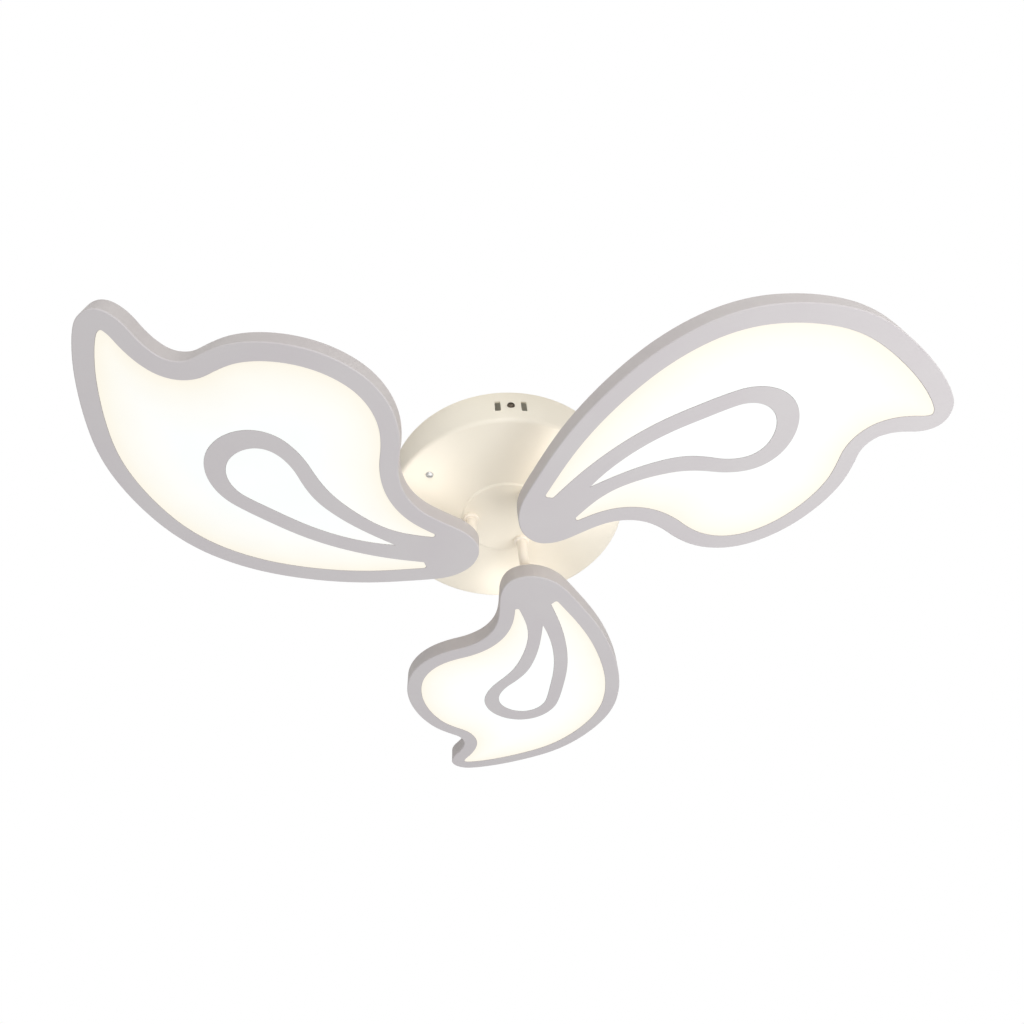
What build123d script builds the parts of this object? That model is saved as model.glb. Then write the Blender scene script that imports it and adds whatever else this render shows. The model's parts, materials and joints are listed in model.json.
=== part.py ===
from build123d import *
import math
import os

# A flush ceiling light: a round canopy carries three bent arms, and each arm carries one lit petal.
# The origin is the centre of the canopy's rim on the ceiling, +Z is up, and everything hangs below.
# The ceiling strap lies along Y, and the canopy's side screws are at its -Y and +Y ends.

# Canopy
canopy_radius = 90.0
canopy_height = 35.0
pan_sheet = 1.2
pan_corner = 3.0
boss_radius = 33.0
boss_depth = 1.2
boss_slope = 1.5

# Openings in the canopy's side wall: a screw hole between two upright slots, on both sides
vent_width = 4.2
vent_height = 12.0
vent_corner = 0.9
vent_angle = 6.0
side_level = 17.5
side_hole_radius = 2.3

# Ceiling strap
strap_sheet = 1.5
strap_width = 28.0
strap_bend = 2.5
tab_width = 14.0
tab_length = 24.0
tab_gap = 0.2
notch_depth = 3.5
slot_spacing = 52.0
slot_length = 30.0
slot_width = 4.6
cable_hole_radius = 5.0

# Screws: thread radius, head radius and head height of each size
m4_radius, m4_head_radius, m4_head_height = 1.95, 2.8, 1.9
m3_radius, m3_head_radius, m3_head_height = 1.45, 2.9, 1.7
m25_radius, m25_head_radius, m25_head_height = 1.2, 2.3, 1.4
driver_slot_share = 0.28
thread_gap = 0.05
hole_gap = 0.25
side_screw_length = 8.0
earth_screw_length = 5.0
earth_inset = 30.0
earth_head_extra = 1.0
earth_washer_radius = 4.6
earth_washer_sheet = 0.8

# Driver: the power supply, a box on the canopy's floor
driver_length = 100.0
driver_width = 24.0
driver_height = 21.0
driver_wall = 1.6
driver_place = -46.0
driver_screw_place = -41.3
driver_corner = 1.5
flange_reach = 8.0
flange_width = 14.0
flange_sheet = 2.2
flange_margin = 6.0
driver_rib = 4.0
driver_gap = 0.25
driver_notch_width = 9.0
driver_notch_height = 6.0
driver_notch_shift = -1.0
driver_vents = 7
driver_vent_pitch = 8.0
driver_vent_width = 1.8
driver_vent_length = 14.0
board_sheet = 1.6
transformer_length, transformer_width, transformer_height = 20.0, 17.0, 10.0
transformer_corner = 1.5
transformer_share = 0.06
choke_radius, choke_bore_radius, choke_height = 6.0, 2.5, 6.0
choke_share = -0.19
capacitor_radius, capacitor_height = 3.6, 10.0
capacitor_shares = (-0.36, 0.26, 0.36)
driver_nut_flats = 5.5
driver_nut_height = 2.4
screw_spare = 1.0

# Terminal block under the strap
terminal_end_gap = 4.8
terminal_length = 38.0
terminal_width = 16.0
terminal_height = 12.0
terminal_pitch = 12.6
terminal_ways = 3
terminal_bore_radius = 1.9
terminal_well_radius = 2.2
terminal_well_depth = 3.4
terminal_screw_inset = 3.8
terminal_barrel_height = 3.0
terminal_barrel_width = 8.4
terminal_step = 2.0
terminal_screw_length = 2.6
terminal_screw_slot_width, terminal_screw_slot_depth = 0.7, 0.6
terminal_fixing_head_radius = 1.9

# Arms: one bent tube for each petal
petal_count = 3
arm_radius = 3.75
arm_wall = 1.0
arm_bend = 10.0
arm_circle = 26.7
arm_angle = 184.9
arm_run = 42.0
arm_run_angle = 196.8
arm_end_wall = 1.5
swivel_gap = 0.1
collar_radius = 6.0
collar_height = 3.0
post_plate_radius = 32.0
post_plate_sheet = 2.0
washer_radius = 6.6
washer_sheet = 1.0
arm_nut_flats = 12.0
arm_nut_height = 4.0
arm_thread_spare = 2.5

# Foot: the casting that joins an arm to the back of its petal
foot_length = 48.0
foot_width = 22.0
foot_sheet = 2.0
foot_start = -2.5
saddle_width = 10.4
saddle_start = 11.0
saddle_gap = 0.05
foot_screw_side = 8.2
foot_screw_places = (13.0, 36.0)
foot_screw_length = 5.0
foot_screw_head_radius = 2.5
wire_hole_place = 29.0
wire_hole_radius = 2.1

# Petal placing: its front face's height at the axis, its lean and the first one's turn about the axis
petal_drop = 80.0
petal_lean_x = 0.0170
petal_lean_y = 0.0259
petal_turn = -4.7

# Petal build-up, front to back
petal_depth = 12.5
face_sheet = 1.5
skirt_wall = 1.4
front_edge = 0.6
frame_width = 12.2
panel_sheet = 2.0
panel_recess = 0.3
panel_gap = 0.15
inlay_gap = 0.3
back_sheet = 1.2
back_boss_radius = 2.8
back_boss_places = (0.075, 0.2, 0.36, 0.5, 0.66, 0.81, 0.93)
back_screw_length = 6.0

# Light boards: a band that follows the petal's outline and a strip up the teardrop
board_width = 10.0
light_board_sheet = 1.2
board_screw_gap = 1.0
light_inset = 25.0
chip_length = 3.5
chip_width = 2.8
chip_height = 0.8
chip_pitch = 16.5
strip_chip_pitch = 14.0
socket_length = 9.0
socket_width = 6.5
socket_height = 3.4

# Leads: each arm's ends in a plug above the arm, on its own axis, so that the arm can turn
lead_radius = 1.25
lead_tail = 2.0
lead_turn = 2.5
lead_gap = 1.0
plug_width = 6.4
plug_height = 7.0
plug_corner = 1.0
notch_lead_pitch = 2.8
terminal_lead_end = 6.0
terminal_lead_reach = 22.0
earth_lead_reach = 18.0

# The petal's outline, seen from above with the light's axis at the origin: root end first,
# then along the smooth side to the tip and back along the wavy side
petal_outline = (
    (-21.5, -9), (-27, 5), (-42, 15), (-65, 18), (-105, 18), (-150, 11), (-190.3, -3.5), (-225.4, -29.5),
    (-248, -67), (-257, -105), (-254.8, -138.2), (-242.3, -184), (-230.2, -200.5), (-220.9, -202.4),
    (-212.7, -197.2), (-203, -180), (-190, -169), (-165, -175), (-135, -177.8), (-100, -167),
    (-74.2, -143.5), (-65.6, -108), (-70, -76), (-62.5, -53), (-45.3, -37.2), (-27, -23),
)

# The teardrop window, from its point round and back to its point
teardrop_outline = (
    (-80.2, -18.2), (-105.3, -24.3), (-135.6, -38.9), (-164.7, -60.4), (-180.3, -77.3), (-180.7, -91.9),
    (-170, -103.4), (-151.9, -104.6), (-140.6, -94), (-131.6, -69.2), (-111.2, -41.9), (-89.9, -24.9),
    (-80.2, -18.2),
)

# The opaque ring round the teardrop, from the root along its smooth side, round and back to the root
ring_outline = (
    (-40, 4), (-62, -0.4), (-83.5, -5.2), (-109.5, -13.6), (-141.3, -29.3), (-171.5, -51.5), (-191.1, -72.7),
    (-193.2, -96.9), (-175.8, -116.2), (-147.6, -116.7), (-131, -99.6), (-121.2, -74.6), (-103.2, -49.5),
    (-80.5, -32), (-58, -24.8), (-40, -21.5),
)

# The solid root: the circle that ends the lit window there
root_pad_middle = (-36.0, -4.0)
root_pad_radius = 26.0

# How far a window's sharp corners are rounded
window_round = 1.6

# The teardrop's light strip, from the root to the teardrop's broad end
strip_route = ((-58, -13), (-90, -24), (-130, -50), (-163, -84))

parts_folder = "parts"


# Sizes worked out from the ones above
pan_floor = pan_sheet - canopy_height
boss_face = -canopy_height - boss_depth
boss_floor = boss_face + pan_sheet
pan_inner_radius = canopy_radius - pan_sheet
tab_face = math.sqrt(pan_inner_radius ** 2 - (tab_width / 2) ** 2) - tab_gap
post_plate_top = boss_floor + post_plate_sheet
nut_floor = post_plate_top + washer_sheet
arm_top = nut_floor + arm_nut_height + arm_thread_spare
arm_foot_height = petal_depth + foot_sheet + arm_radius
cavity_top = petal_depth - back_sheet
board_floor = cavity_top - light_board_sheet
driver_floor = pan_floor + flange_sheet
driver_screw_spacing = driver_length + 2 * flange_reach
driver_notch_place = driver_place + driver_notch_shift
notch_lead_level = driver_floor + driver_notch_height - 1.3 * lead_radius
terminal_place = tab_face - strap_sheet - terminal_end_gap - terminal_length / 2
high_lead_level = -strap_sheet - lead_gap - lead_radius
low_lead_level = driver_floor + driver_height - flange_sheet + lead_gap + lead_radius
terminal_bore_level = -strap_sheet - terminal_height / 2
earth_place = earth_inset - tab_face
plug_floor = arm_top + lead_tail
plug_top = plug_floor + plug_height


def polar(radius, degrees):
    """A point at a radius and an angle from +X."""
    return radius * math.cos(math.radians(degrees)), radius * math.sin(math.radians(degrees))


def ring(outer, inner, height):
    """A round tube standing on z = 0."""
    return extrude(Circle(outer) - Circle(inner), height)


def hex_nut(flats, bore, height):
    """A hexagon nut standing on z = 0."""
    return extrude(RegularPolygon(flats / 2, 6, major_radius=False) - Circle(bore), height)


def pan_head_screw(radius, length, head_radius, head_height):
    """A slotted pan-head screw: its head stands up from z = 0 and its shank hangs down."""
    top = ThreePointArc((0, head_height), (head_radius * 0.72, head_height * 0.8), (head_radius, 0))
    side = Polyline((head_radius, 0), (radius, 0), (radius, -length), (0, -length), (0, head_height))
    screw = revolve(make_face(Plane.XZ * (top + side)), Axis.Z)
    slot_width = head_radius * driver_slot_share
    return screw - Pos(0, 0, head_height) * Box(2 * head_radius, slot_width, head_height)


def petal_place(index):
    """Where a petal's own frame stands: z = 0 on its front face, leaning, turned about the axis."""
    lean = Plane(origin=(0, 0, -petal_drop), x_dir=(1, 0, -petal_lean_x), z_dir=(petal_lean_x, petal_lean_y, 1))
    return Rot(0, 0, petal_turn - index * 360 / petal_count) * lean.location


def arm_place(index):
    """The turn about the axis that carries the first arm to the arm asked for."""
    return Rot(0, 0, petal_turn - index * 360 / petal_count)


def height_over_petal(height, x, y):
    """The level of the point above (x, y) that lies a height behind the first petal's front face."""
    stretch = math.sqrt(1 + petal_lean_x ** 2 + petal_lean_y ** 2)
    return -petal_drop + height * stretch - petal_lean_x * x - petal_lean_y * y


def arm_corner():
    """Where the first arm's leg and run would meet, before the arm's turn about the axis."""
    x, y = polar(arm_circle, arm_angle)
    return Pos(x, y, height_over_petal(arm_foot_height, x, y))


def foot_place(along, across=0.0):
    """A point on the petal's back, in the petal's frame, measured from the leg along and across the run."""
    corner = (lean_only().inverse() * arm_corner()).position
    run_x, run_y = polar(1, arm_run_angle)
    return corner.X + along * run_x - across * run_y, corner.Y + along * run_y + across * run_x


def over_petal(place, height):
    """The point at a height behind the first petal's face, before the arm's turn about the axis."""
    return (lean_only() * Pos(*place, height)).position


# Canopy pieces


def canopy_pan():
    """A spun steel pan with a shallow boss in its face, vent slots and screw holes."""
    outer = FilletPolyline(
        (0, boss_face), (boss_radius, boss_face), (boss_radius + boss_slope, -canopy_height),
        (canopy_radius, -canopy_height), (canopy_radius, 0), radius=[0.5, 0.5, pan_corner])
    inner = FilletPolyline(
        (0, boss_floor), (boss_radius, boss_floor), (boss_radius + boss_slope, pan_floor),
        (pan_inner_radius, pan_floor), (pan_inner_radius, 0), radius=[0.5, 0.5, pan_corner - pan_sheet])
    rim = Line((pan_inner_radius, 0), (canopy_radius, 0))
    middle = Line((0, boss_face), (0, boss_floor))
    pan = revolve(make_face(Plane.XZ * (outer + rim + inner + middle)), Axis.Z)
    slot = extrude(RectangleRounded(vent_width, vent_height, vent_corner), 3 * pan_sheet, both=True)
    hole = extrude(Circle(side_hole_radius), 3 * pan_sheet, both=True)
    upright = Pos(0, -canopy_radius, -side_level) * Rot(90, 0, 0)
    for side in (0, 180):
        for turn, cutter in ((-vent_angle, slot), (0, hole), (vent_angle, slot)):
            pan -= Rot(0, 0, side + turn) * upright * cutter
    for x in (-driver_screw_spacing / 2, driver_screw_spacing / 2):
        pan -= Pos(x, driver_screw_place, pan_floor) * Cylinder(m3_radius + hole_gap, 4 * pan_sheet)
    for x, y in arm_points():
        pan -= Pos(x, y, boss_floor) * Cylinder(arm_radius + swivel_gap, 4 * pan_sheet)
    return pan


def arm_points():
    """Where the arms' legs pass through the canopy."""
    turns = [arm_angle + petal_turn - i * 360 / petal_count for i in range(petal_count)]
    return [polar(arm_circle, turn) for turn in turns]


def post_plate():
    """The plate inside the canopy's boss that stiffens it where the arms are clamped."""
    plate = extrude(Circle(post_plate_radius), post_plate_sheet)
    for x, y in arm_points():
        plate -= Pos(x, y, 0) * Cylinder(arm_radius + swivel_gap, 4 * post_plate_sheet)
    return Pos(0, 0, boss_floor) * plate


def swivel_washers():
    """One friction washer under each arm's nut."""
    washer = ring(washer_radius, arm_radius + swivel_gap, washer_sheet)
    return Compound([Pos(x, y, post_plate_top) * washer for x, y in arm_points()])


def ceiling_bracket():
    """A folded steel strap, slotted for the ceiling screws, with a threaded tab at each end."""
    outside = Pos(0, -tab_length / 2) * Rectangle(2 * tab_face, tab_length)
    inside = Pos(0, -tab_length / 2 - strap_sheet) * Rectangle(2 * (tab_face - strap_sheet), tab_length)
    section = outside - inside
    outer_corners = [v for v in section.vertices() if abs(v.Y) < 0.01]
    section = fillet(outer_corners, strap_bend)
    inner_level = [v for v in section.vertices() if abs(v.Y + strap_sheet) < 0.01]
    inner_corners = [v for v in inner_level if abs(v.X) > tab_face - 2 * strap_sheet]
    section = fillet(inner_corners, strap_bend - strap_sheet)
    strap = extrude(Plane.YZ * section, strap_width / 2, both=True)
    notch_width = (strap_width - tab_width) / 2
    for side in (-1, 1):
        x = side * (tab_width + notch_width) / 2
        for end in (-1, 1):
            strap -= Pos(x, end * tab_face, 0) * Box(notch_width, 2 * notch_depth, 4 * tab_length)
        place = Pos(0, side * slot_spacing / 2, 0) * Rot(0, 0, 90)
        strap -= place * extrude(SlotOverall(slot_length, slot_width), 2 * strap_sheet, both=True)
        thread = Rot(90, 0, 0) * Cylinder(m4_radius + thread_gap, 4 * strap_sheet)
        strap -= Pos(0, side * tab_face, -side_level) * thread
    strap -= Cylinder(cable_hole_radius, 4 * strap_sheet)
    strap -= Pos(0, earth_place, 0) * Cylinder(m4_radius + thread_gap, 4 * strap_sheet)
    for y in terminal_fixings():
        strap -= Pos(0, y, 0) * Cylinder(m3_radius + thread_gap, 4 * strap_sheet)
    return strap


def side_screws():
    """The two screws that hold the canopy to the strap's tabs."""
    screw = pan_head_screw(m4_radius, side_screw_length, m4_head_radius, m4_head_height)
    place = Pos(0, -canopy_radius, -side_level) * Rot(90, 0, 0)
    return Compound([Rot(0, 0, side) * place * screw for side in (0, 180)])


def earth_screw():
    """The earth screw under the strap, with its washer."""
    screw = pan_head_screw(m4_radius, earth_screw_length, m4_head_radius + earth_head_extra, m4_head_height)
    washer = ring(earth_washer_radius, m4_radius + thread_gap, earth_washer_sheet)
    under = -strap_sheet - earth_washer_sheet
    hung = Pos(0, earth_place, under) * Rot(180, 0, 0) * screw
    return Compound([hung, Pos(0, earth_place, under) * washer])


# Driver pieces


def driver_base():
    """The driver's floor, with a screw flange at each end and a rib that the cover fits round."""
    floor = Pos(0, 0, flange_sheet / 2) * Box(driver_length, driver_width, flange_sheet)
    flange_end = driver_screw_spacing / 2 + flange_margin
    flange_shift = driver_screw_place - driver_place
    flange = Pos(0, flange_shift, 0) * extrude(SlotOverall(2 * flange_end, flange_width), flange_sheet)
    rib_length = driver_length - 2 * (driver_wall + driver_gap)
    rib_width = driver_width - 2 * (driver_wall + driver_gap)
    rib = Rectangle(rib_length, rib_width)
    rib -= Rectangle(rib_length - 2 * driver_wall, rib_width - 2 * driver_wall)
    base = floor + flange + Pos(0, 0, flange_sheet) * extrude(rib, driver_rib)
    for x in (-driver_screw_spacing / 2, driver_screw_spacing / 2):
        base -= Pos(x, flange_shift, 0) * Cylinder(m3_radius + hole_gap, 4 * flange_sheet)
    notch = Box(driver_length * 2, driver_notch_width, 2 * driver_notch_height)
    base -= Pos(0, driver_notch_shift, flange_sheet + driver_notch_height) * notch
    return Pos(0, driver_place, pan_floor) * base


def driver_cover():
    """The driver's lid: a rounded box with vents on top and a notch for the leads at each end."""
    height = driver_height - flange_sheet
    outside = Pos(0, 0, height / 2) * Box(driver_length, driver_width, height)
    outside = fillet(outside.edges().filter_by(Axis.Z) + outside.edges().group_by(Axis.Z)[-1], driver_corner)
    hollow_height = height - driver_wall
    hollow = Box(driver_length - 2 * driver_wall, driver_width - 2 * driver_wall, hollow_height)
    cover = outside - Pos(0, 0, hollow_height / 2) * hollow
    cover -= Pos(0, driver_notch_shift, 0) * Box(driver_length * 2, driver_notch_width, 2 * driver_notch_height)
    vent = extrude(SlotOverall(driver_vent_length, driver_vent_width), 2 * driver_wall, both=True)
    for i in range(driver_vents):
        x = (i - (driver_vents - 1) / 2) * driver_vent_pitch
        cover -= Pos(x, 0, height) * Rot(0, 0, 90) * vent
    return Pos(0, driver_place, driver_floor) * cover


def driver_board():
    """The driver's circuit board with its transformer, choke and capacitors."""
    length = driver_length - 2 * driver_wall - 4 * driver_gap
    width = driver_width - 2 * driver_wall - 4 * driver_gap
    board = Pos(0, 0, board_sheet / 2) * Box(length, width, board_sheet)
    core = Box(transformer_length, transformer_width, transformer_height)
    core = fillet(core.edges().filter_by(Axis.Z), transformer_corner)
    board += Pos(transformer_share * length, 0, board_sheet + transformer_height / 2) * core
    board += Pos(choke_share * length, 0, board_sheet) * ring(choke_radius, choke_bore_radius, choke_height)
    for share in capacitor_shares:
        capacitor = Cylinder(capacitor_radius, capacitor_height)
        board += Pos(share * length, 0, board_sheet + capacitor_height / 2) * capacitor
    return Pos(0, driver_place, driver_floor + driver_rib) * board


def driver_screws():
    """The two screws through the canopy's face that hold the driver: their heads show below."""
    length = pan_sheet + flange_sheet + driver_nut_height + screw_spare
    screw = Rot(180, 0, 0) * pan_head_screw(m3_radius, length, m3_head_radius, m3_head_height)
    xs = (-driver_screw_spacing / 2, driver_screw_spacing / 2)
    return Compound([Pos(x, driver_screw_place, -canopy_height) * screw for x in xs])


def driver_nuts():
    """The nuts on the driver's flanges."""
    nut = hex_nut(driver_nut_flats, m3_radius + thread_gap, driver_nut_height)
    xs = (-driver_screw_spacing / 2, driver_screw_spacing / 2)
    return Compound([Pos(x, driver_screw_place, driver_floor) * nut for x in xs])


# Terminal pieces


def terminal_fixings():
    """Where the terminal block is screwed to the strap, between its ways."""
    return [terminal_place - terminal_pitch / 2, terminal_place + terminal_pitch / 2]


def terminal_ways_places():
    """The middle of each way along Y."""
    return [terminal_place + (i - (terminal_ways - 1) / 2) * terminal_pitch for i in range(terminal_ways)]


def terminal_block():
    """A moulded block with one bored way a pole, two screw wells in each way and two fixing holes."""
    rail_height = terminal_height - terminal_barrel_height
    top = -strap_sheet
    rail = Box(terminal_width - 2 * terminal_step, terminal_length, rail_height)
    block = Pos(0, terminal_place, top - rail_height / 2) * rail
    for y in terminal_ways_places():
        barrel = Box(terminal_width, terminal_barrel_width, terminal_height)
        barrel = fillet(barrel.edges().filter_by(Axis.X).group_by(Axis.Z)[0], terminal_barrel_width / 3)
        block += Pos(0, y, top - terminal_height / 2) * barrel
    for y in terminal_ways_places():
        bore = Rot(0, 90, 0) * Cylinder(terminal_bore_radius, 2 * terminal_width)
        block -= Pos(0, y, terminal_bore_level) * bore
        for x in terminal_wells():
            well = Cylinder(terminal_well_radius, terminal_well_depth * 2)
            block -= Pos(x, y, top - terminal_height) * well
    for y in terminal_fixings():
        block -= Pos(0, y, top) * Cylinder(m3_radius + hole_gap, 4 * terminal_height)
    return block


def terminal_wells():
    """The two screw places across each way."""
    reach = terminal_width / 2 - terminal_screw_inset
    return (-reach, reach)


def terminal_screws():
    """The clamping screws in the block's wells."""
    top = -strap_sheet - terminal_height + terminal_well_depth
    body = Cylinder(terminal_well_radius - hole_gap, terminal_screw_length)
    body = Pos(0, 0, -terminal_screw_length / 2) * body
    slot = Box(4 * terminal_well_radius, terminal_screw_slot_width, 2 * terminal_screw_slot_depth)
    body -= Pos(0, 0, -terminal_screw_length) * slot
    places = [(x, y) for x in terminal_wells() for y in terminal_ways_places()]
    return Compound([Pos(x, y, top) * body for x, y in places])


def terminal_fixing_screws():
    """The two screws that hold the terminal block under the strap."""
    rail_height = terminal_height - terminal_barrel_height
    screw = pan_head_screw(m3_radius, rail_height + strap_sheet, terminal_fixing_head_radius, m3_head_height)
    level = -strap_sheet - rail_height
    return Compound([Pos(0, y, level) * Rot(180, 0, 0) * screw for y in terminal_fixings()])


# Arm pieces, each made for the first petal and then turned


def arm_route():
    """The arm's middle line: down from the canopy, round the bend and out over the petal's back."""
    corner = arm_corner().position
    return Vector(corner.X, corner.Y, arm_top), corner, over_petal(foot_place(arm_run), arm_foot_height)


def arm_tube():
    """A bent steel tube, threaded at its top end and closed at its far end."""
    top, corner, end = arm_route()
    path = FilletPolyline(top, corner, end, radius=arm_bend)
    tube = sweep(Plane(origin=top, z_dir=(0, 0, -1)) * Circle(arm_radius), path=path)
    inner_end = end - (end - corner).normalized() * arm_end_wall
    inner_path = FilletPolyline(top, corner, inner_end, radius=arm_bend)
    bore = sweep(Plane(origin=top, z_dir=(0, 0, -1)) * Circle(arm_radius - arm_wall), path=inner_path)
    return tube - bore - wire_hole(petal_depth, arm_foot_height)


def wire_hole(bottom, top):
    """The hole that lets the lead drop from the arm into the petal, between two heights."""
    x, y = foot_place(wire_hole_place)
    hole = Pos(x, y, bottom) * extrude(Circle(wire_hole_radius), top - bottom)
    return lean_only() * hole


def lean_only():
    """The first petal's frame before its turn about the axis."""
    return arm_place(0).inverse() * petal_place(0)


def arm_collar():
    """The shoulder that the canopy's boss rests on."""
    x, y = polar(arm_circle, arm_angle)
    collar = ring(collar_radius, arm_radius, collar_height)
    collar = chamfer(collar.edges().group_by(Axis.Z)[0].sort_by(SortBy.LENGTH)[-1], 0.8)
    return Pos(x, y, boss_face - collar_height) * collar


def arm_nut():
    """The nut that clamps the arm to the canopy."""
    x, y = polar(arm_circle, arm_angle)
    return Pos(x, y, nut_floor) * hex_nut(arm_nut_flats, arm_radius, arm_nut_height)


def arm_foot():
    """A cast foot: a flat sole with screw holes, and a saddle that the arm lies in."""
    middle_x, middle_y = foot_place(foot_start + foot_length / 2)
    turned = Pos(middle_x, middle_y, petal_depth) * Rot(0, 0, arm_run_angle)
    foot = turned * extrude(SlotOverall(foot_length, foot_width), foot_sheet)
    saddle_length = arm_run - saddle_start
    saddle_x, saddle_y = foot_place(saddle_start + saddle_length / 2)
    saddle = Box(saddle_length, saddle_width, arm_radius)
    saddle_level = petal_depth + foot_sheet + arm_radius / 2
    foot += Pos(saddle_x, saddle_y, saddle_level) * Rot(0, 0, arm_run_angle) * saddle
    trough = Rot(0, 90, 0) * Cylinder(arm_radius + saddle_gap, 4 * arm_run)
    x, y = foot_place(0)
    foot -= Pos(x, y, arm_foot_height) * Rot(0, 0, arm_run_angle) * trough
    for x, y in foot_screw_points():
        foot -= Pos(x, y, petal_depth) * Cylinder(m3_radius + hole_gap, 4 * foot_sheet)
    x, y = foot_place(wire_hole_place)
    foot -= Pos(x, y, petal_depth) * Cylinder(wire_hole_radius, 4 * foot_sheet)
    return lean_only() * foot


def foot_screw_points():
    """The four foot screws, in pairs either side of the arm."""
    return [foot_place(along, side * foot_screw_side) for along in foot_screw_places for side in (-1, 1)]


def foot_screws():
    """The screws that hold the foot to the petal's back."""
    screw = pan_head_screw(m3_radius, foot_screw_length, foot_screw_head_radius, m3_head_height)
    level = petal_depth + foot_sheet
    screws = [Pos(x, y, level) * screw for x, y in foot_screw_points()]
    return lean_only() * Compound(screws)


def sleeve(*points):
    """A round lead through points, with its corners rounded."""
    path = FilletPolyline(*points, radius=lead_turn)
    start = Vector(*points[0])
    return sweep(Plane(origin=start, z_dir=Vector(*points[1]) - start) * Circle(lead_radius), path=path)


def lead():
    """The twin lead inside an arm, from its plug to the light board's socket."""
    top, corner, _ = arm_route()
    hole = foot_place(wire_hole_place)
    start = Vector(top.X, top.Y, plug_floor)
    points = (start, corner, over_petal(hole, arm_foot_height), over_petal(hole, board_floor))
    path = FilletPolyline(*points, radius=[arm_bend, lead_turn])
    return sweep(Plane(origin=start, z_dir=(0, 0, -1)) * Circle(lead_radius), path=path)


def lead_plug():
    """The plug pair above an arm, where its lead joins the driver's."""
    x, y = polar(arm_circle, arm_angle)
    plug = fillet(Box(plug_width, plug_width, plug_height).edges().filter_by(Axis.Z), plug_corner)
    return Pos(x, y, plug_floor + plug_height / 2) * plug


def notch_lead_place(index):
    """How far out a lead turns down by the pan's wall, and where it lies in the driver's notch."""
    y = driver_notch_place + (index - 1) * notch_lead_pitch
    return math.sqrt((pan_inner_radius - lead_gap - lead_radius) ** 2 - y ** 2), y


def driver_leads():
    """The driver's three output leads, over the clamp nuts to the plugs: the first passes over the others."""
    leads = []
    inside = driver_length / 2 - driver_wall
    levels = (high_lead_level, low_lead_level, low_lead_level)
    for i, (x, y) in enumerate(arm_points()):
        reach, end_y = notch_lead_place(petal_count - 1 - i)
        leads.append(sleeve(
            (x, y, plug_top), (x, y, levels[i]), (reach, end_y, levels[i]),
            (reach, end_y, notch_lead_level), (inside, end_y, notch_lead_level)))
    return Compound(leads)


def mains_leads():
    """The two leads from the terminal block to the driver's other end."""
    leads = []
    inside = driver_length / 2 - driver_wall
    for i, way in enumerate(terminal_ways_places()[1:]):
        reach, end_y = notch_lead_place(2 * i)
        leads.append(sleeve(
            (-terminal_lead_end, way, terminal_bore_level), (-terminal_lead_reach, way, terminal_bore_level),
            (-reach, way - reach, terminal_bore_level), (-reach, end_y, terminal_bore_level),
            (-reach, end_y, notch_lead_level), (-inside, end_y, notch_lead_level)))
    return Compound(leads)


def earth_lead():
    """The earth lead from the terminal block's first way, along the strap to the earth screw."""
    way = terminal_ways_places()[0]
    end_level = -strap_sheet - earth_washer_sheet - lead_radius - thread_gap
    reach = m4_head_radius + earth_head_extra + thread_gap
    return sleeve(
        (-terminal_lead_end, way, terminal_bore_level), (-earth_lead_reach, way, terminal_bore_level),
        (-earth_lead_reach, earth_place, terminal_bore_level), (-earth_lead_reach, earth_place, end_level),
        (-reach, earth_place, end_level))


# Petal pieces, each made in the petal's own frame


def arc_chain(curve, places):
    """Arcs that meet smoothly, two for each stretch of a curve between neighbouring places."""
    arcs = []
    for start_place, end_place in zip(places, places[1:]):
        start, end = curve.position_at(start_place), curve.position_at(end_place)
        leave, arrive = curve.tangent_at(start_place), curve.tangent_at(end_place)
        gap, both = end - start, leave + arrive
        turn = 2 * (1 - leave.dot(arrive))
        reach = gap.dot(both)
        step = (math.sqrt(reach ** 2 + turn * gap.dot(gap)) - reach) / turn
        middle = (start + end + (leave - arrive) * step) * 0.5
        arcs.append(TangentArc(start, middle, tangent=leave))
        arcs.append(TangentArc(middle, end, tangent=gap - both * step))
    return arcs


def smooth_loop(points, periodic):
    """A closed loop of arcs through points: smooth all round, or with a cusp at its first point."""
    curve = Spline(*points, periodic=periodic)
    between = points[1:] if periodic else points[1:-1]
    return arc_chain(curve, [0.0] + [curve.param_at_point(Vector(*point)) for point in between] + [1.0])


def inset_face(width):
    """The area inside the petal's outline, drawn in by a width."""
    outline = make_face(smooth_loop(petal_outline, True))
    return offset(outline, -width) if width else outline


def teardrop_face(growth):
    """The teardrop window, grown all round."""
    teardrop = make_face(smooth_loop(teardrop_outline, False))
    return offset(teardrop, growth) if growth else teardrop


def ring_face(growth):
    """The opaque ring and its stem as one filled area, grown all round and open to the root."""
    curve = Spline(*ring_outline)
    places = [0.0] + [curve.param_at_point(Vector(*point)) for point in ring_outline[1:-1]] + [1.0]
    ring_area = make_face(arc_chain(curve, places) + [Line(ring_outline[-1], ring_outline[0])])
    return offset(ring_area, growth) if growth else ring_area


def window_faces(gap):
    """The two lit windows, each drawn in from the frame by a gap."""
    crescent = inset_face(frame_width + gap) - ring_face(gap)
    crescent -= Pos(*root_pad_middle) * Circle(root_pad_radius + gap)
    crescent = crescent.faces().sort_by(SortBy.AREA)[-1]
    crescent = offset(offset(crescent, -window_round), window_round)
    return [crescent, teardrop_face(-gap)]


def back_boss_points():
    """Where the back cover is screwed on, along the middle of the frame's band."""
    curve = Spline(*petal_outline, periodic=True)
    points = []
    for place in back_boss_places:
        tangent = curve.tangent_at(place)
        points.append(curve.position_at(place) + Vector(-tangent.Y, tangent.X, 0) * frame_width / 2)
    return points


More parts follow.
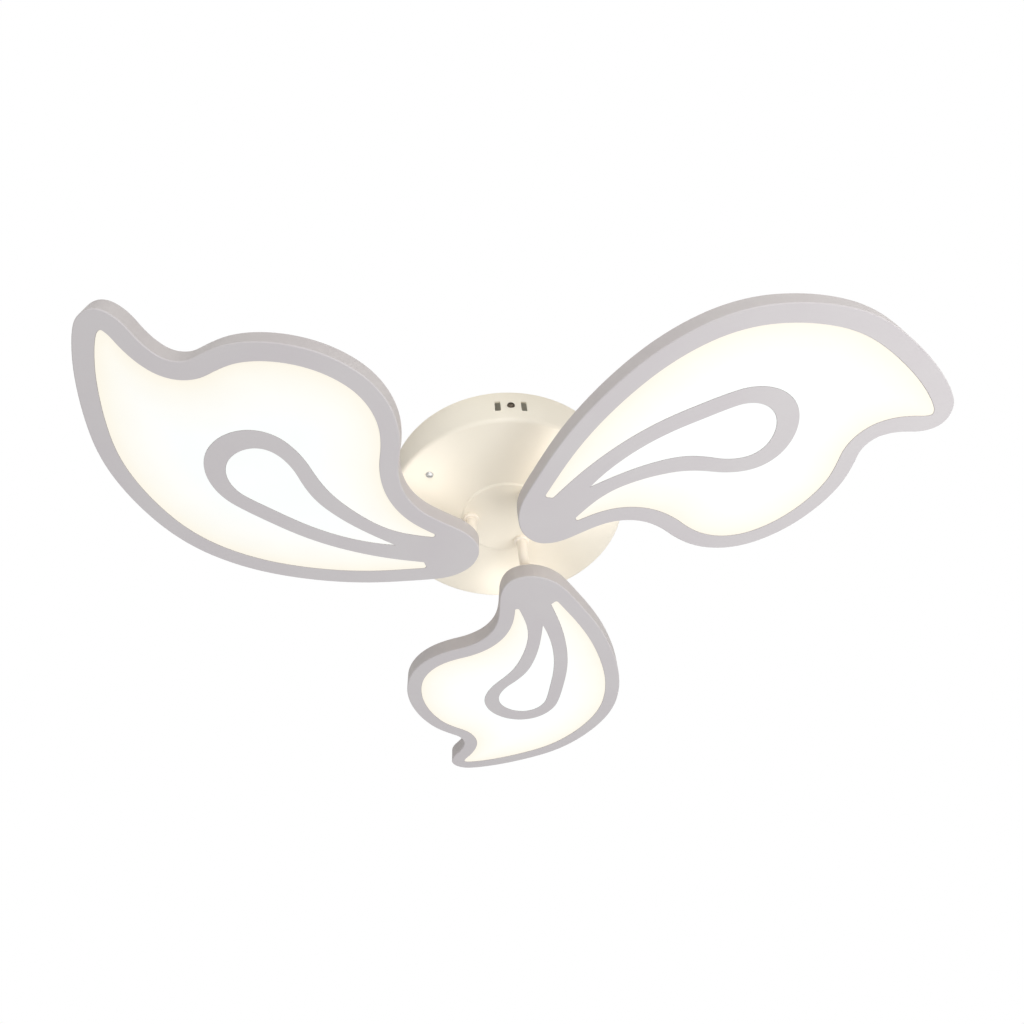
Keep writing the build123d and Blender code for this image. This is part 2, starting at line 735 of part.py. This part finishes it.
def petal_frame():
    """The grey shell: a pierced face, a skirt round its edge and bosses for the back's screws."""
    shell = extrude(inset_face(0), petal_depth)
    shell = chamfer(shell.edges().group_by(Axis.Z)[0], front_edge)
    shell -= Pos(0, 0, face_sheet) * extrude(inset_face(skirt_wall), petal_depth)
    for window in window_faces(0):
        shell -= Pos(0, 0, -face_sheet) * extrude(window, 3 * face_sheet)
    boss_height = cavity_top - face_sheet
    boss = ring(back_boss_radius, m25_radius + thread_gap, boss_height)
    for point in back_boss_points():
        shell += Pos(point.X, point.Y, face_sheet) * boss
    return shell


def petal_panel():
    """The opal acrylic panel: a sheet behind the frame, with raised lands that fill its windows."""
    panel = Pos(0, 0, face_sheet) * extrude(inset_face(skirt_wall + inlay_gap), panel_sheet)
    for window in window_faces(panel_gap):
        panel += Pos(0, 0, panel_recess) * extrude(window, face_sheet - panel_recess + panel_sheet / 2)
    for point in back_boss_points():
        panel -= Pos(point.X, point.Y, face_sheet) * Cylinder(back_boss_radius + inlay_gap, 4 * panel_sheet)
    return panel


def petal_back():
    """The back cover, let into the frame's skirt."""
    back = Pos(0, 0, cavity_top) * extrude(inset_face(skirt_wall + inlay_gap), back_sheet)
    for point in back_boss_points():
        back -= Pos(point.X, point.Y, cavity_top) * Cylinder(m25_radius + hole_gap, 4 * back_sheet)
    for x, y in foot_screw_points():
        back -= Pos(x, y, cavity_top) * Cylinder(m3_radius + thread_gap, 4 * back_sheet)
    x, y = foot_place(wire_hole_place)
    return back - Pos(x, y, cavity_top) * Cylinder(wire_hole_radius, 4 * back_sheet)


def back_screws():
    """The screws of the back cover."""
    screw = pan_head_screw(m25_radius, back_screw_length, m25_head_radius, m25_head_height)
    return Compound([Pos(point.X, point.Y, petal_depth) * screw for point in back_boss_points()])


def strip_curve():
    """The middle line of the teardrop's light strip."""
    return Spline(*strip_route)


def led_board():
    """The aluminium light board: a band round the petal and a strip up the teardrop, in one piece."""
    half = board_width / 2
    band = inset_face(light_inset - half) - inset_face(light_inset + half)
    strip = trace(strip_curve(), board_width)
    board = Pos(0, 0, board_floor) * extrude(band + strip, light_board_sheet)
    for x, y in foot_screw_points():
        board -= Pos(x, y, board_floor) * Cylinder(m3_radius + board_screw_gap, 4 * light_board_sheet)
    x, y = foot_place(wire_hole_place)
    return board - Pos(x, y, board_floor) * Cylinder(wire_hole_radius, 4 * light_board_sheet)


def chip_places():
    """Points and directions for the light chips on the board."""
    places = []
    socket_x, socket_y = foot_place(wire_hole_place)
    band = inset_face(light_inset).wire()
    for curve, pitch in ((band, chip_pitch), (strip_curve(), strip_chip_pitch)):
        count = int(curve.length // pitch)
        for i in range(count):
            along = (i + 0.5) / count
            point = curve.position_at(along)
            clear = math.dist((point.X, point.Y), (socket_x, socket_y)) > socket_length
            lit = math.dist((point.X, point.Y), root_pad_middle) > root_pad_radius
            if clear and lit:
                tangent = curve.tangent_at(along)
                places.append((point, math.degrees(math.atan2(tangent.Y, tangent.X))))
    return places


def led_chips():
    """The light chips, on the board's face towards the panel."""
    chip = Box(chip_length, chip_width, chip_height)
    level = board_floor - chip_height / 2
    return Compound([Pos(p.X, p.Y, level) * Rot(0, 0, turn) * chip for p, turn in chip_places()])


def board_socket():
    """The socket where the arm's lead joins the light board."""
    x, y = foot_place(wire_hole_place)
    return Pos(x, y, board_floor - socket_height / 2) * Rot(0, 0, arm_run_angle) * Box(
        socket_length, socket_width, socket_height)


def write(name, shape):
    """Saves one piece under its name."""
    export_step(shape, os.path.join(parts_folder, name + ".step"))


def main():
    os.makedirs(parts_folder, exist_ok=True)
    for make in (
        canopy_pan, post_plate, swivel_washers, ceiling_bracket, side_screws, earth_screw,
        driver_base, driver_cover, driver_board, driver_screws, driver_nuts, driver_leads,
        terminal_block, terminal_screws, terminal_fixing_screws, mains_leads, earth_lead,
    ):
        write(make.__name__, make())
    for make in (arm_tube, arm_collar, arm_nut, arm_foot, foot_screws, lead, lead_plug):
        shape = make()
        for i in range(petal_count):
            write(f"{make.__name__}_{i + 1}", arm_place(i) * shape)
    for make in (petal_frame, petal_panel, petal_back, back_screws, led_board, led_chips, board_socket):
        shape = make()
        for i in range(petal_count):
            write(f"{make.__name__}_{i + 1}", petal_place(i) * shape)


main()
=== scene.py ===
import json
import math

import bmesh
import bpy
from mathutils import Matrix, Vector, geometry, kdtree


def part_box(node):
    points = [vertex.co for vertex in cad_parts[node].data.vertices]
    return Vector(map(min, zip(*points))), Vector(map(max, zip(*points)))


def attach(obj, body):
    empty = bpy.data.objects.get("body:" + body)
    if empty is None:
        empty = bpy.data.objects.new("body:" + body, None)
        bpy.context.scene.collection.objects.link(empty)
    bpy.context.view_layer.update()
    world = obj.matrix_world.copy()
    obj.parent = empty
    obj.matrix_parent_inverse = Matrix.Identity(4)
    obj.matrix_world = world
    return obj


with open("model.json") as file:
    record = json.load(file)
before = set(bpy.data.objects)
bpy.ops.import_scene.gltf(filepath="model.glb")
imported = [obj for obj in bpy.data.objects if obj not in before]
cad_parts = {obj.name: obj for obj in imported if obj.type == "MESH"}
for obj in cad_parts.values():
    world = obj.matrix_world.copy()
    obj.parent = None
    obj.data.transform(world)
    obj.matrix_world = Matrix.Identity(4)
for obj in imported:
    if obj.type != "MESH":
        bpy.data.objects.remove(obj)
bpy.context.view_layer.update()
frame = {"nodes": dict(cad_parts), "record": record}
scene = bpy.context.scene
scene.view_settings.view_transform = "Standard"
MM = 0.001
WHITE = "#ffffff"
GLOSS_DRIFT = 0.06


def linear(code, alpha=1.0):
    """An sRGB hex colour as linear values."""
    steps = [int(code[i:i + 2], 16) / 255 for i in (1, 3, 5)]
    return tuple(c / 12.92 if c <= 0.04045 else ((c + 0.055) / 1.055) ** 2.4 for c in steps) + (alpha,)


def add(tree, kind, **given):
    """Adds a node: settings by name, and inputs as values or as the sockets that feed them."""
    node = tree.nodes.new(kind)
    for key, value in given.items():
        if key.startswith("in_"):
            label = key[3:]
            socket = node.inputs[int(label)] if label.isdigit() else node.inputs[label.replace("_", " ")]
            if isinstance(value, bpy.types.NodeSocket):
                tree.links.new(value, socket)
            else:
                socket.default_value = value
        else:
            setattr(node, key, value)
    return node


def finish(name, clouds, grain_mm, roughness, bump_mm, stretch=(1, 1, 1), **sockets):
    """A surface whose colour drifts between two near shades, with a fine grain in its gloss and bump."""
    cloud_mm, first_shade, second_shade = clouds
    material = bpy.data.materials.new(name)
    material.use_nodes = True
    tree = material.node_tree
    surface = tree.nodes["Principled BSDF"]
    place = add(tree, "ShaderNodeTexCoord")
    spread = add(tree, "ShaderNodeMapping", in_Vector=place.outputs["Object"], in_Scale=stretch)
    drift = add(tree, "ShaderNodeTexNoise", in_Vector=spread.outputs[0], in_Scale=1 / (cloud_mm * MM),
                in_Detail=3.0)
    tint = add(tree, "ShaderNodeValToRGB", in_Fac=drift.outputs["Fac"])
    for element, level, shade in zip(tint.color_ramp.elements, (0.35, 0.65), (first_shade, second_shade)):
        element.position, element.color = level, linear(shade)
    grain = add(tree, "ShaderNodeTexNoise", in_Vector=spread.outputs[0], in_Scale=1 / (grain_mm * MM),
                in_Detail=2.0)
    bump = add(tree, "ShaderNodeBump", in_Height=grain.outputs["Fac"], in_Distance=bump_mm * MM,
               in_Strength=0.5)
    rough = add(tree, "ShaderNodeMapRange", in_Value=grain.outputs["Fac"],
                in_To_Min=roughness - GLOSS_DRIFT, in_To_Max=roughness + GLOSS_DRIFT)
    tree.links.new(tint.outputs["Color"], surface.inputs["Base Color"])
    tree.links.new(rough.outputs["Result"], surface.inputs["Roughness"])
    tree.links.new(bump.outputs["Normal"], surface.inputs["Normal"])
    for label, value in sockets.items():
        surface.inputs[label.replace("_", " ")].default_value = value
    return material


def painted_wall_shade(material, shade, face_level=0.9, wall_level=0.3):
    """Painted shade: the coat is made a shade darker on the walls than on the faces, for the less light that
    falls on a wall.
    A face points up or down by at least face_level, and a wall by no more than wall_level."""
    tree = material.node_tree
    surface = tree.nodes["Principled BSDF"]
    coat = surface.inputs["Base Color"].links[0].from_socket
    place = add(tree, "ShaderNodeTexCoord")
    facing = add(tree, "ShaderNodeSeparateXYZ", in_0=place.outputs["Normal"])
    flatness = add(tree, "ShaderNodeMath", operation="ABSOLUTE", in_0=facing.outputs["Z"])
    share = add(tree, "ShaderNodeMapRange", in_Value=flatness.outputs[0], in_From_Min=face_level,
                in_From_Max=wall_level)
    # Painted shade: the coat colour is multiplied darker where the surface turns from a face to a wall
    wall_shade = add(tree, "ShaderNodeMix", data_type="RGBA", blend_type="MULTIPLY", in_0=share.outputs["Result"],
               in_6=coat, in_7=linear(shade))
    tree.links.new(wall_shade.outputs[2], surface.inputs["Base Color"])


# Stove enamel on pressed steel: a smooth satin cream coat with a very fine orange peel
canopy_enamel = finish("cream_stove_enamel", (60, "#f3ecdc", "#f5eedf"), 1.6, 0.38, 0.02)
# The same enamel on the arms, their collars and feet, a touch lighter on these small pieces: painted light,
# to lift the shade they sit in under the canopy
lightened_arm_enamel = finish("arm_enamel_painted_lighter", (20, "#f7eee0", "#f9f1e4"), 1.2, 0.35, 0.02)
# Powder coat on the petals' pressed shells and backs: matt light grey, with the coat's fine texture
shell_coat = finish("grey_powder_coat", (45, "#c9c4c6", "#cbc7c8"), 0.9, 0.55, 0.03)
# Painted shade: the shells' walls get a darker coat colour than their faces
painted_wall_shade(shell_coat, "#f1efec")
# Bright zinc plate on rolled steel, streaked along the roll
zinc = finish("bright_zinc_plate", (6, "#b4b6b7", "#c0c1c0"), 0.8, 0.32, 0.01, (1, 0.2, 1), Metallic=1.0)
# Zinc plate on the screws: duller, from tumbling in the plating barrel
screw_zinc = finish("screw_zinc_plate", (2, "#c2c4c4", "#cdcdcc"), 0.4, 0.42, 0.01, Metallic=1.0)
# Bronze plate on the canopy's side screws: small dark heads
bronze = finish("dark_bronze_plate", (2, "#5a5148", "#6a6156"), 0.3, 0.4, 0.01, Metallic=1.0)
# Machined brass on the earth screw: clean and yellow, with a fine turned gloss
brass = finish("machined_brass", (3, "#c9a659", "#d2b26a"), 0.3, 0.25, 0.01, Metallic=1.0)
# Natural nylon on the friction washers: warm white and half matt
nylon = finish("natural_nylon", (5, "#e9e6da", "#efede3"), 0.5, 0.45, 0.01)
# White polycarbonate on the driver's case: cooler, with a matt mould's texture
driver_case = finish("white_polycarbonate", (25, "#e9e9e7", "#eeeeec"), 0.7, 0.5, 0.03)
# The terminal block's nylon: a little greyer, and glossier
terminal_nylon = finish("terminal_nylon", (8, "#e4e3da", "#ebeae2"), 0.6, 0.35, 0.01)
# The nylon of the plugs and board sockets: cooler, and half matt
socket_nylon = finish("socket_nylon", (4, "#e6e5df", "#eeede8"), 0.5, 0.4, 0.01)
# Soft vinyl sleeves on the leads: pale, with a dull gloss
sleeve = finish("soft_lead_sleeve", (9, "#e2e0d6", "#e9e7de"), 0.8, 0.45, 0.01)
# The earth lead's sleeve: green with patches of yellow
earth_sleeve = finish("green_yellow_sleeve", (3, "#4d8a3c", "#d3c93f"), 0.8, 0.45, 0.01)
# Green solder mask on the driver's glass fibre board
circuit_board = finish("green_solder_mask", (12, "#2f5a3c", "#37663f"), 0.8, 0.35, 0.01)
# White solder mask on the aluminium light boards
light_board = finish("white_solder_mask", (20, "#e6e6e3", "#edede9"), 0.6, 0.4, 0.01)
# Yellow phosphor over the chips
phosphor = finish("yellow_phosphor", (1, "#e8cf7a", "#efd98a"), 0.3, 0.5, 0.01)
# Opal acrylic on the panels' edges and backs: nearly white
opal = finish("opal_acrylic", (30, "#e4e3dd", "#e8e7e1"), 0.5, 0.35, 0.005)


def lit_opal(glow, reach_mm):
    """Opal acrylic lit from behind: near white, and warmer towards the petal's rim, where the chips are near.
    Each step of the glow is a distance from the rim in millimetres and the light's colour there."""
    material = finish("lit_opal_acrylic", (30, "#8b8a87", "#8f8e8b"), 0.5, 0.4, 0.005,
                      Emission_Strength=0.74)
    tree = material.node_tree
    far = add(tree, "ShaderNodeAttribute", attribute_name="rim_distance")
    share = add(tree, "ShaderNodeMath", operation="MULTIPLY", in_0=far.outputs["Fac"],
                in_1=1 / (reach_mm * MM))
    ramp = add(tree, "ShaderNodeValToRGB", in_Fac=share.outputs[0])
    while len(ramp.color_ramp.elements) < len(glow):
        ramp.color_ramp.elements.new(0.5)
    for element, (place_mm, colour) in zip(ramp.color_ramp.elements, glow):
        element.position, element.color = place_mm / reach_mm, linear(colour)
    tree.links.new(ramp.outputs["Color"], tree.nodes["Principled BSDF"].inputs["Emission Color"])
    return material


lit_face = lit_opal(((12, "#fcf5e4"), (20, "#fdfaef"), (34, "#fefefa"), (51, "#fbffff")), 60)

finishes = {
    "cream_paint": canopy_enamel, "arm_paint": lightened_arm_enamel, "grey_shell": shell_coat, "opal_panel": opal,
    "zinc_steel": zinc, "zinc_screw": screw_zinc, "dark_screw": bronze, "brass": brass, "nylon": nylon,
    "driver_case": driver_case, "terminal_plastic": terminal_nylon, "socket_plastic": socket_nylon,
    "lead_sleeve": sleeve, "earth_sleeve": earth_sleeve, "circuit_board": circuit_board,
    "board_aluminium": light_board, "led_chip": phosphor,
}
slot_of = {part["node"]: part["material_slot"] for part in frame["record"]["subparts"]}
for name, piece in frame["nodes"].items():
    piece.material_slots[0].material = finishes[slot_of[name]]


def face_rim(mesh, normal, level, alike=0.99, slack_mm=0.1):
    """The edges round the faces that look along the normal at that level, as pairs of vertex numbers."""
    uses = {}
    for face in mesh.polygons:
        if face.normal.dot(normal) > alike and face.center.dot(normal) > level - slack_mm * MM:
            for pair in face.edge_keys:
                uses[pair] = uses.get(pair, 0) + 1
    return [pair for pair, count in uses.items() if count == 1]


def fill(corners, edges, step_mm=5.0):
    """A flat net of small triangles inside closed outlines: its points and its faces."""
    step = step_mm * MM
    low = Vector((min(p.x for p in corners), min(p.y for p in corners)))
    high = Vector((max(p.x for p in corners), max(p.y for p in corners)))
    columns, rows = int((high.x - low.x) / step), int((high.y - low.y) / step)
    grid = [low + Vector((i + 0.5 * (j % 2), j)) * step for i in range(columns + 1) for j in range(rows + 1)]
    inside_only, same_point = 1, 1e-7
    points, _, faces, _, _, _ = geometry.delaunay_2d_cdt(corners + grid, edges, [], inside_only, same_point)
    return points, faces


def distances(points, outline):
    """How far each point is from the nearest point of an outline."""
    tree = kdtree.KDTree(len(outline))
    for i, point in enumerate(outline):
        tree.insert((point.x, point.y, 0), i)
    tree.balance()
    return [tree.find((p.x, p.y, 0))[2] for p in points]


def lit_skin(index, lift_mm=0.02, wall_edge_mm=12.1):
    """The lit faces of one panel as a fine mesh whose points hold their distance from the petal's rim.
    The shell's vertices further back than wall_edge_mm are its wall's open edge, and so its rim."""
    panel = frame["nodes"][f"petal_panel_{index}"].data
    shell = frame["nodes"][f"petal_frame_{index}"].data
    normal = max(panel.polygons, key=lambda p: p.area).normal.copy()
    normal *= -1 if normal.z > 0 else 1
    across_face = normal.orthogonal().normalized()
    up_face = normal.cross(across_face)

    def flat(point):
        return Vector((point.dot(across_face), point.dot(up_face)))

    face_level = max(v.co.dot(normal) for v in panel.vertices)
    window_edges = face_rim(panel, normal, face_level)
    used = sorted({i for pair in window_edges for i in pair})
    number = {vertex: i for i, vertex in enumerate(used)}
    points, faces = fill([flat(panel.vertices[i].co) for i in used],
                         [(number[a], number[b]) for a, b in window_edges])
    rim = [flat(v.co) for v in shell.vertices if v.co.dot(normal) < face_level - wall_edge_mm * MM]
    mesh = bpy.data.meshes.new(f"lit_face_{index}")
    lifted = normal * (face_level + lift_mm * MM)
    mesh.from_pydata([across_face * p.x + up_face * p.y + lifted for p in points], [], faces)
    mesh.attributes.new("rim_distance", "FLOAT", "POINT").data.foreach_set("value", distances(points, rim))
    if mesh.polygons[0].normal.dot(normal) < 0:
        mesh.flip_normals()
    mesh.materials.append(lit_face)
    skin = bpy.data.objects.new(f"lit_face_{index}", mesh)
    scene.collection.objects.link(skin)
    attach(skin, f"petal_arm_{index}")


for petal in (1, 2, 3):
    lit_skin(petal)


# Camera: below the ceiling and in front, looking up, as worked out from the photograph
picture_px = 1024
focal_px = 713
centre_px = (492, 509)
sensor_mm = 36
eye_mm = (-10.45, -364.23, -447.2)
heading, pitch, roll = (math.radians(degrees) for degrees in (-4.7, 49.28, -3.47))
turn = Matrix.Rotation(heading, 3, "Z")
forward = Vector((0, math.cos(pitch), math.sin(pitch)))
right = Vector((1, 0, 0))
down = forward.cross(right)
across = turn @ (math.cos(roll) * right - math.sin(roll) * down)
drop = turn @ (math.sin(roll) * right + math.cos(roll) * down)
ahead = turn @ forward
eye = turn @ (Vector(eye_mm) * MM)
camera = bpy.data.objects.new("camera", bpy.data.cameras.new("camera"))
camera.data.sensor_width = sensor_mm
camera.data.lens = sensor_mm * focal_px / picture_px
camera.data.shift_x = (picture_px / 2 - centre_px[0]) / picture_px
camera.data.shift_y = (centre_px[1] - picture_px / 2) / picture_px
camera.data.clip_start = 0.01
axes = Matrix((across, -drop, -ahead)).transposed()
camera.matrix_world = Matrix.Translation(eye) @ axes.to_4x4()
scene.collection.objects.link(camera)
scene.camera = camera


# Backdrop: the world is plain white to the camera and in reflections, and softer light on the object
world = bpy.data.worlds.new("studio")
scene.world = world
world.use_nodes = True
sky = world.node_tree
seen = add(sky, "ShaderNodeLightPath")
camera_or_gloss = add(sky, "ShaderNodeMath", operation="MAXIMUM", in_0=seen.outputs["Is Camera Ray"],
                      in_1=seen.outputs["Is Glossy Ray"])
shown = add(sky, "ShaderNodeMath", operation="MAXIMUM", in_0=camera_or_gloss.outputs[0],
            in_1=seen.outputs["Is Transmission Ray"])
soft = add(sky, "ShaderNodeBackground", in_Color=linear(WHITE), in_Strength=0.65)
plain = add(sky, "ShaderNodeBackground", in_Color=linear(WHITE), in_Strength=1.0)
either = add(sky, "ShaderNodeMixShader", in_0=shown.outputs[0], in_1=soft.outputs[0], in_2=plain.outputs[0])
sky.links.new(either.outputs[0], sky.nodes["World Output"].inputs["Surface"])


def lamp(name, place, aim, size, watts):
    """A square soft lamp of plain white at a place, turned to a point, in metres."""
    light = bpy.data.lights.new(name, "AREA")
    light.shape, light.size, light.energy = "SQUARE", size, watts
    lamp_object = bpy.data.objects.new(name, light)
    lamp_object.location = place
    lamp_object.rotation_euler = (Vector(aim) - Vector(place)).to_track_quat("-Z", "Y").to_euler()
    lamp_object.visible_camera = False
    scene.collection.objects.link(lamp_object)


middle = (0, 0, -0.05)
lamp("lamp_front", (0.1, -1.2, -0.25), middle, size=0.8, watts=4.3)
lamp("lamp_below", (0.6, -0.3, -1.0), middle, size=0.6, watts=3.6)
lamp("lamp_right", (0.5, -0.25, -0.4), (0.15, 0, -0.05), size=0.3, watts=0.4)
lamp("lamp_above", (-0.2, 0.4, 1.2), middle, size=1.0, watts=5)
# The real light throws some of its glow up onto its own canopy, from behind each petal's root.
# Each glow is its petal, its place in metres and its watts
root_level = -0.064
root_glows = ((1, -0.0735, -0.0315, 0.0095), (2, 0.009, 0.0794, 0.016), (3, 0.064, -0.048, 0.034))
for petal, x, y, watts in root_glows:
    lamp(f"lamp_root_{petal}", (x, y, root_level), (x, y, 0), size=0.06, watts=watts)


def ceiling_paint():
    """White to the camera, matt pale paint to the light, and clear from above."""
    material = bpy.data.materials.new("matt_ceiling_paint")
    material.use_nodes = True
    tree = material.node_tree
    tree.nodes.clear()
    side = add(tree, "ShaderNodeNewGeometry")
    ray = add(tree, "ShaderNodeLightPath")
    paint = add(tree, "ShaderNodeBsdfDiffuse", in_Color=linear("#f2f2f0"))
    white = add(tree, "ShaderNodeEmission", in_Color=linear(WHITE), in_Strength=1.0)
    clear = add(tree, "ShaderNodeBsdfTransparent")
    below = add(tree, "ShaderNodeMixShader", in_0=ray.outputs["Is Camera Ray"], in_1=paint.outputs[0],
                in_2=white.outputs[0])
    both = add(tree, "ShaderNodeMixShader", in_0=side.outputs["Backfacing"], in_1=below.outputs[0],
               in_2=clear.outputs[0])
    add(tree, "ShaderNodeOutputMaterial", in_Surface=both.outputs[0])
    return material


def ceiling(rim, reach, level, corners=96):
    """The pale ceiling as a flat ring round the canopy's rim."""
    angles = [math.tau * i / corners for i in range(corners)]
    work = bmesh.new()
    inner, outer = ([work.verts.new((r * math.cos(a), r * math.sin(a), level)) for a in angles]
                    for r in (rim, reach))
    for i in range(corners):
        j = (i + 1) % corners
        work.faces.new((inner[i], inner[j], outer[j], outer[i]))
    mesh = bpy.data.meshes.new("ceiling")
    work.to_mesh(mesh)
    work.free()
    mesh.materials.append(ceiling_paint())
    plane = bpy.data.objects.new("ceiling", mesh)
    scene.collection.objects.link(plane)


canopy_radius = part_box("canopy_pan")[1].x
ceiling(rim=canopy_radius + 0.2 * MM, reach=3.0, level=0.4 * MM)
